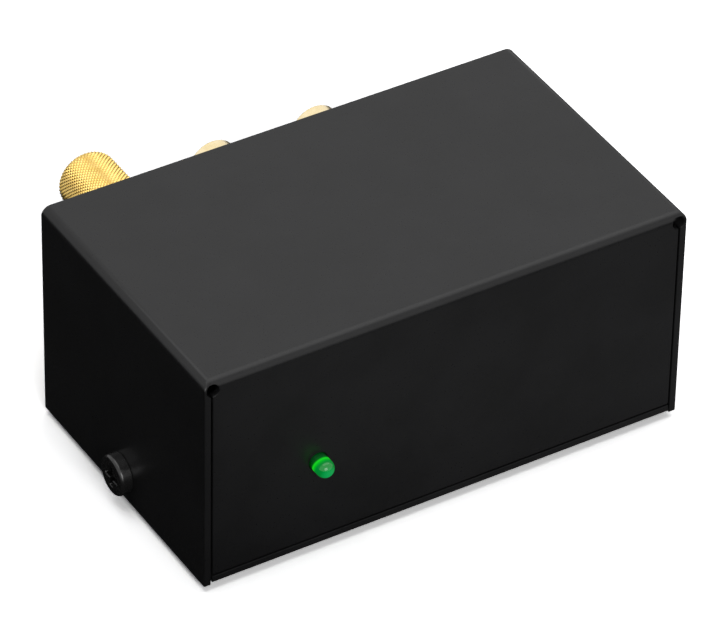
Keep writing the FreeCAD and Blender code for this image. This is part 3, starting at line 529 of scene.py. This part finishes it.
# Power inlet: a black moulded socket with a round nose through the rear panel,
# a nickel-plated centre pin and a leaf spring along the bore's floor.
nickel = finish("nickel", (0.66, 0.62, 0.55), 0.22, Metallic=1.0)
surface(nickel, 0.3 * MM, (0.16, 0.3), 0.002 * MM, ((0.6, 0.56, 0.5), (0.72, 0.68, 0.61)), 2 * MM)
piece("inlet_moulding", eased(form_of("inlet_body"), 0.18 * MM, segments=3), "chassis", moulded, "inlet_body")
piece("inlet_centre_pin", eased(form_of("inlet_pin"), 0.12 * MM), "chassis", nickel, "inlet_pin")
piece("inlet_leaf_spring", eased(form_of("inlet_spring"), 0.05 * MM), "chassis", nickel, "inlet_spring")

# Grounding post: a brass stud held by a hexagon nut on the panel, with a toothed
# washer and a crimped lug inside, and a green wire down to the board.
post_low, post_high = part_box("ground_thumb_nut")
post_x, post_z = (post_low.x + post_high.x) / 2, (post_low.z + post_high.z) / 2
brass = finish("plated_brass", (0.9, 0.62, 0.2), 0.24, Metallic=1.0)
surface(brass, 0.4 * MM, (0.18, 0.32), 0.003 * MM, ((0.82, 0.53, 0.15), (0.95, 0.69, 0.27)), 1.5 * MM)
HEAD_RADIUS, HEAD_THICK, HEAD_CHAMFER = 3.6 * MM, 2.4 * MM, 0.3 * MM
STUD_RADIUS, STUD_TIP = 2.0 * MM, 0.4 * MM
THREAD_PITCH, THREAD_DEPTH, THREAD_FROM, THREAD_SPARE = 0.7 * MM, 0.3 * MM, 2.5 * MM, 0.5 * MM
stud_low, stud_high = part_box("ground_stud")
stud_length = stud_high.y - stud_low.y
thread_start = HEAD_THICK + THREAD_FROM
turns = int((stud_length - thread_start - THREAD_SPARE) / THREAD_PITCH)
stud_profile = [(0, 0), (HEAD_RADIUS - HEAD_CHAMFER, 0), (HEAD_RADIUS, HEAD_CHAMFER),
                (HEAD_RADIUS, HEAD_THICK), (STUD_RADIUS, HEAD_THICK)]
for turn in range(turns):
    crest = thread_start + turn * THREAD_PITCH
    stud_profile += [(STUD_RADIUS, crest), (STUD_RADIUS - THREAD_DEPTH, crest + THREAD_PITCH / 2)]
stud_profile += [(STUD_RADIUS, thread_start + turns * THREAD_PITCH),
                 (STUD_RADIUS - STUD_TIP, stud_length), (0, stud_length)]
stud = stood(turned(stud_profile), post_x, stud_low.y, post_z, TO_BACK)
piece("post_stud", stud, "chassis", brass, "ground_stud", smooth=25)
lock_nut = eased(form_of("ground_lock_nut"), 0.2 * MM, segments=3)
piece("post_lock_nut", lock_nut, "chassis", brass, "ground_lock_nut")
piece("post_toothed_washer", eased(form_of("ground_star_washer"), 0.06 * MM), "chassis", zinc,
      "ground_star_washer")
piece("post_lug", eased(form_of("ground_lug"), 0.1 * MM), "chassis", tin, "ground_lug")
jacket = finish("green_insulation", (0.03, 0.3, 0.07), 0.42)
surface(jacket, 0.6 * MM, (0.34, 0.5), 0.01 * MM, ((0.02, 0.24, 0.05), (0.04, 0.34, 0.09)), 3 * MM)
piece("post_wire", form_of("ground_wire"), "chassis", jacket, "ground_wire", smooth=50)
clamp_washer = eased(form_of("ground_clamp_washer"), 0.12 * MM, segments=3)
piece("post_clamp_washer", clamp_washer, "clamp_washer", brass, "ground_clamp_washer")

# Thumb nut: turned from brass with a rounded end, then rolled with a fine diamond
# knurl over its side and its rounded end, and gold plated.
NUT_RADIUS, NUT_ROUND, NUT_CHAMFER = 5.1 * MM, 1.35 * MM, 0.5 * MM
BORE_RADIUS, BORE_CHAMFER, BORE_DEEP = 2.06 * MM, 0.25 * MM, 10.5 * MM
KNURL_DEPTH, KNURL_COLUMNS = 0.18 * MM, 46
FIRST_ROW, KNURL_END = 0.6, 0.96       # in knurl pitches, and in shares of the rounded end
nut_length = post_high.y - post_low.y
core = NUT_RADIUS - KNURL_DEPTH
straight = nut_length - KNURL_DEPTH - NUT_ROUND
mouth = BORE_RADIUS + BORE_CHAMFER
nut_profile = [(mouth, 0), (core - NUT_CHAMFER, 0), (core, NUT_CHAMFER)]
nut_profile += arc(NUT_ROUND, core - NUT_ROUND, straight, 0, 90, steps=10)
nut_profile += [(0, nut_length - KNURL_DEPTH)]
bore_profile = [(mouth, 0), (BORE_RADIUS, BORE_CHAMFER), (BORE_RADIUS, BORE_DEEP), (0, BORE_DEEP)]
nut_core = joined(turned(nut_profile, steps=96), turned(bore_profile, steps=96))

pitch = tau * core / KNURL_COLUMNS
rows, height = [], NUT_CHAMFER + FIRST_ROW * pitch
while height < straight:
    rows.append((core, height, 0.0))
    height += pitch / 2
lean = (height - straight) / NUT_ROUND
while lean < pi / 2 * KNURL_END:
    rows.append((core - NUT_ROUND + NUT_ROUND * cos(lean), straight + NUT_ROUND * sin(lean), lean))
    lean += pitch / 2 / NUT_ROUND
teeth = []
for number, (out, up, tilt) in enumerate(rows):
    for column in range(KNURL_COLUMNS):
        angle = tau * (column + 0.5 * (number % 2)) / KNURL_COLUMNS
        spoke = Vector((cos(angle), sin(angle), 0))
        teeth.append((spoke * out + UP * up, spoke * cos(tilt) + UP * sin(tilt),
                      Vector((-sin(angle), cos(angle), 0))))
HALF = pitch / 2
tooth = bpy.data.meshes.new("tooth")
tooth.from_pydata(
    [(HALF, 0, 0), (0, HALF, 0), (-HALF, 0, 0), (0, -HALF, 0), (0, 0, KNURL_DEPTH)], [],
    [(0, 1, 4), (1, 2, 4), (2, 3, 4), (3, 0, 4), (3, 2, 1, 0)])
knurl_gold = finish("knurled_gold", (0.8, 0.56, 0.17), 0.3, Metallic=1.0)
surface(knurl_gold, 0.3 * MM, (0.24, 0.34), 0.003 * MM, ((0.76, 0.52, 0.15), (0.84, 0.6, 0.2)), 1.2 * MM)
knurl = set_out(tooth, teeth, knurl_gold)
thumb_nut = stood(joined(nut_core, knurl, weld=False), post_x, post_low.y, post_z, TO_BACK)
piece("knurled_nut", thumb_nut, "thumb_nut", knurl_gold, "ground_thumb_nut", smooth=20)

# Lamp: a 3 mm lens cast in clear green epoxy with a domed end, lit from inside.
# Its light is strongest in a band close to the panel. Two leads run to the board.
lens_low, lens_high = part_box("lamp_lens")
lamp_x, lamp_z = (lens_low.x + lens_high.x) / 2, (lens_low.z + lens_high.z) / 2
LENS_RADIUS, LENS_OUT, SHEET = 1.5 * MM, 3.3 * MM, 1.2 * MM
FLANGE_RADIUS, FLANGE_THICK, FLANGE_SLOPE = 1.9 * MM, 1.0 * MM, 0.05 * MM
GLOW_SLANT = 0.12
TO_FRONT = Matrix.Rotation(radians(90), 4, "X")
lens_length = lens_high.y - lens_low.y
lens_profile = [(0, 0), (FLANGE_RADIUS, 0), (FLANGE_RADIUS, FLANGE_THICK),
                (LENS_RADIUS, FLANGE_THICK + FLANGE_SLOPE)]
lens_profile += arc(LENS_RADIUS, 0, lens_length - LENS_RADIUS, 0, 90, steps=16)
green = finish("green_lens", (0.0, 0.13, 0.02), 0.07, Emission_Strength=0.9)
from_panel = wire(green, "Mapping", {
    "Vector": spot(green), "Location": (-lamp_x, -(lens_high.y - SHEET - FLANGE_THICK), -lamp_z)})
inside = axes(green, from_panel)
share_out = wire(green, "Math", {0: inside["Y"], 1: -1 / LENS_OUT}, operation="MULTIPLY")
slanted = wire(green, "Math", {0: inside["Z"], 1: -GLOW_SLANT / LENS_RADIUS, 2: share_out},
               operation="MULTIPLY_ADD")
glow = shades(green, slanted, [
    (0.0, (0.0, 0.01, 0.0)), (0.16, (0.0, 0.06, 0.002)), (0.26, (0.01, 0.7, 0.012)),
    (0.38, (0.0, 0.45, 0.01)), (0.5, (0.0, 0.22, 0.025)), (0.8, (0.0, 0.2, 0.025)),
    (1.0, (0.0, 0.32, 0.07))])
feed(green, "Emission Color", glow)
cast = speckle(green, 1.2 * MM)
feed(green, "Base Color", shades(green, cast, [(0.3, (0.0, 0.1, 0.015)), (0.7, (0.0, 0.15, 0.025))]))
feed(green, "Roughness", span(green, cast, 0.05, 0.1))
dome = stood(turned(lens_profile, steps=64), lamp_x, lens_high.y, lamp_z, TO_FRONT)
piece("lamp_dome", dome, "chassis", green, "lamp_lens")
piece("lamp_wires", eased(form_of("lamp_leads"), 0.05 * MM), "chassis", tin, "lamp_leads")

# Cover: one sheet folded into a top, a front flap and two side flaps, with round
# reliefs punched where the folds meet. It has the same black powder coat.
piece("cover_sheet", eased(form_of("top_cover"), COAT_EDGE), "chassis", powder_coat, "top_cover")

# Cover screws: pan heads with a cross recess, one into a tab of the base at
# each side. Black oxide leaves them glossier than the sheet.
oxide = finish("black_oxide_steel", (0.012, 0.012, 0.012), 0.26, Specular_IOR_Level=0.6)
surface(oxide, 0.5 * MM, (0.2, 0.3), 0.001 * MM, ((0.008, 0.008, 0.008), (0.016, 0.016, 0.016)))
screws = eased(form_of("cover_screws"), 0.12 * MM, segments=3, angle=40)
piece("side_screws", screws, "chassis", oxide, "cover_screws")

# Floor, light and camera: a sheet of paper that is white to the camera, and darker in
# reflections and bounced light, with a painted pool of light in front. The room is white to the
# camera and in reflections. One lamp hangs above to the right, one stands in front.
floor_mesh = bpy.data.meshes.new("floor")
REACH = 6.0
floor_mesh.from_pydata([(-REACH, -REACH, 0), (REACH, -REACH, 0), (REACH, REACH, 0), (-REACH, REACH, 0)],
                       [], [(0, 1, 2, 3)])
floor = bpy.data.objects.new("floor", floor_mesh)
bpy.context.scene.collection.objects.link(floor)
paper = finish("paper", (0.5, 0.5, 0.5), 0.9, Specular_IOR_Level=0.0)
floor_mesh.materials.append(paper)
rays = paper.node_tree.nodes.new("ShaderNodeLightPath")
fibres = speckle(paper, 2 * MM)
paper_white = span(paper, fibres, 2.7, 2.74)
# Painted light: a pool of light painted into the paper's colour in front, seen only in reflections and
# bounced light.
LIGHT_POOL_RADIUS, LIGHT_POOL_X, LIGHT_POOL_Y = 0.1, 0.04, -0.09
inward = wire(paper, "Mapping", {
    "Vector": spot(paper), "Scale": (1 / LIGHT_POOL_RADIUS, 1 / LIGHT_POOL_RADIUS, 1 / LIGHT_POOL_RADIUS),
    "Location": (-LIGHT_POOL_X / LIGHT_POOL_RADIUS, -LIGHT_POOL_Y / LIGHT_POOL_RADIUS, 0)})
light_pool_nearness = wire(paper, "TexGradient", {"Vector": inward}, gradient_type="SPHERICAL")
painted_light_pool = span(paper, light_pool_nearness, 0.03, 0.36, 0.0, 0.5)
seen_white = wire(paper, "Mix", {0: rays.outputs["Is Camera Ray"], 2: painted_light_pool, 3: paper_white},
                  data_type="FLOAT")
feed(paper, "Base Color", seen_white)

world = bpy.data.worlds.new("room")
bpy.context.scene.world = world
world.use_nodes = True
background = world.node_tree.nodes["Background"]
path = world.node_tree.nodes.new("ShaderNodeLightPath")
seen = path.outputs["Is Camera Ray"]
for ray in ("Is Glossy Ray", "Is Transmission Ray"):
    seen = wire(world, "Math", {0: seen, 1: path.outputs[ray]}, operation="MAXIMUM")
room = wire(world, "Mix", {0: seen, 6: (0.08, 0.08, 0.082, 1), 7: (1, 1, 1, 1)}, data_type="RGBA").node
world.node_tree.links.new(room.outputs[2], background.inputs["Color"])


def soft_box(name, place, aim, width, height, watts):
    """A rectangular lamp that faces a point."""
    lamp = bpy.data.lights.new(name, "AREA")
    lamp.shape = "RECTANGLE"
    lamp.size, lamp.size_y, lamp.energy = width, height, watts
    thing = bpy.data.objects.new(name, lamp)
    thing.location = place
    thing.rotation_euler = (Vector(aim) - Vector(place)).to_track_quat("-Z", "Y").to_euler()
    bpy.context.scene.collection.objects.link(thing)


soft_box("overhead", (0.28, 0.1, 0.9), (0.28, 0.1, 0), width=1.4, height=0.8, watts=4.4)
soft_box("fill", (-0.35, -1.55, 0.8), (0, 0, 0), width=1.0, height=0.9, watts=12.0)

AZIMUTH, ELEVATION, ROLL = radians(-31.8157), radians(38.1449), radians(1.1841)
DISTANCE, SHIFT_RIGHT, SHIFT_UP = 0.921268, -0.000356, -0.000577
AIM = Vector((0, -0.0061, 0.0206))
SENSOR_WIDTH, FOCAL_LENGTH, FAR_CLIP = 36, 298.48, 100
toward_eye = Vector((sin(AZIMUTH) * cos(ELEVATION), -cos(AZIMUTH) * cos(ELEVATION), sin(ELEVATION)))
level = (-toward_eye).cross(UP).normalized()
upright = level.cross(-toward_eye)
rightward = level * cos(ROLL) + upright * sin(ROLL)
upward = upright * cos(ROLL) - level * sin(ROLL)
eye = AIM + toward_eye * DISTANCE + rightward * SHIFT_RIGHT + upward * SHIFT_UP
camera = bpy.data.objects.new("camera", bpy.data.cameras.new("camera"))
camera.data.sensor_width = SENSOR_WIDTH
camera.data.lens = FOCAL_LENGTH
camera.data.clip_end = FAR_CLIP
camera.matrix_world = Matrix.Translation(eye) @ Matrix((rightward, upward, toward_eye)).transposed().to_4x4()
bpy.context.scene.collection.objects.link(camera)
bpy.context.scene.camera = camera
bpy.context.scene.view_settings.view_transform = "Standard"
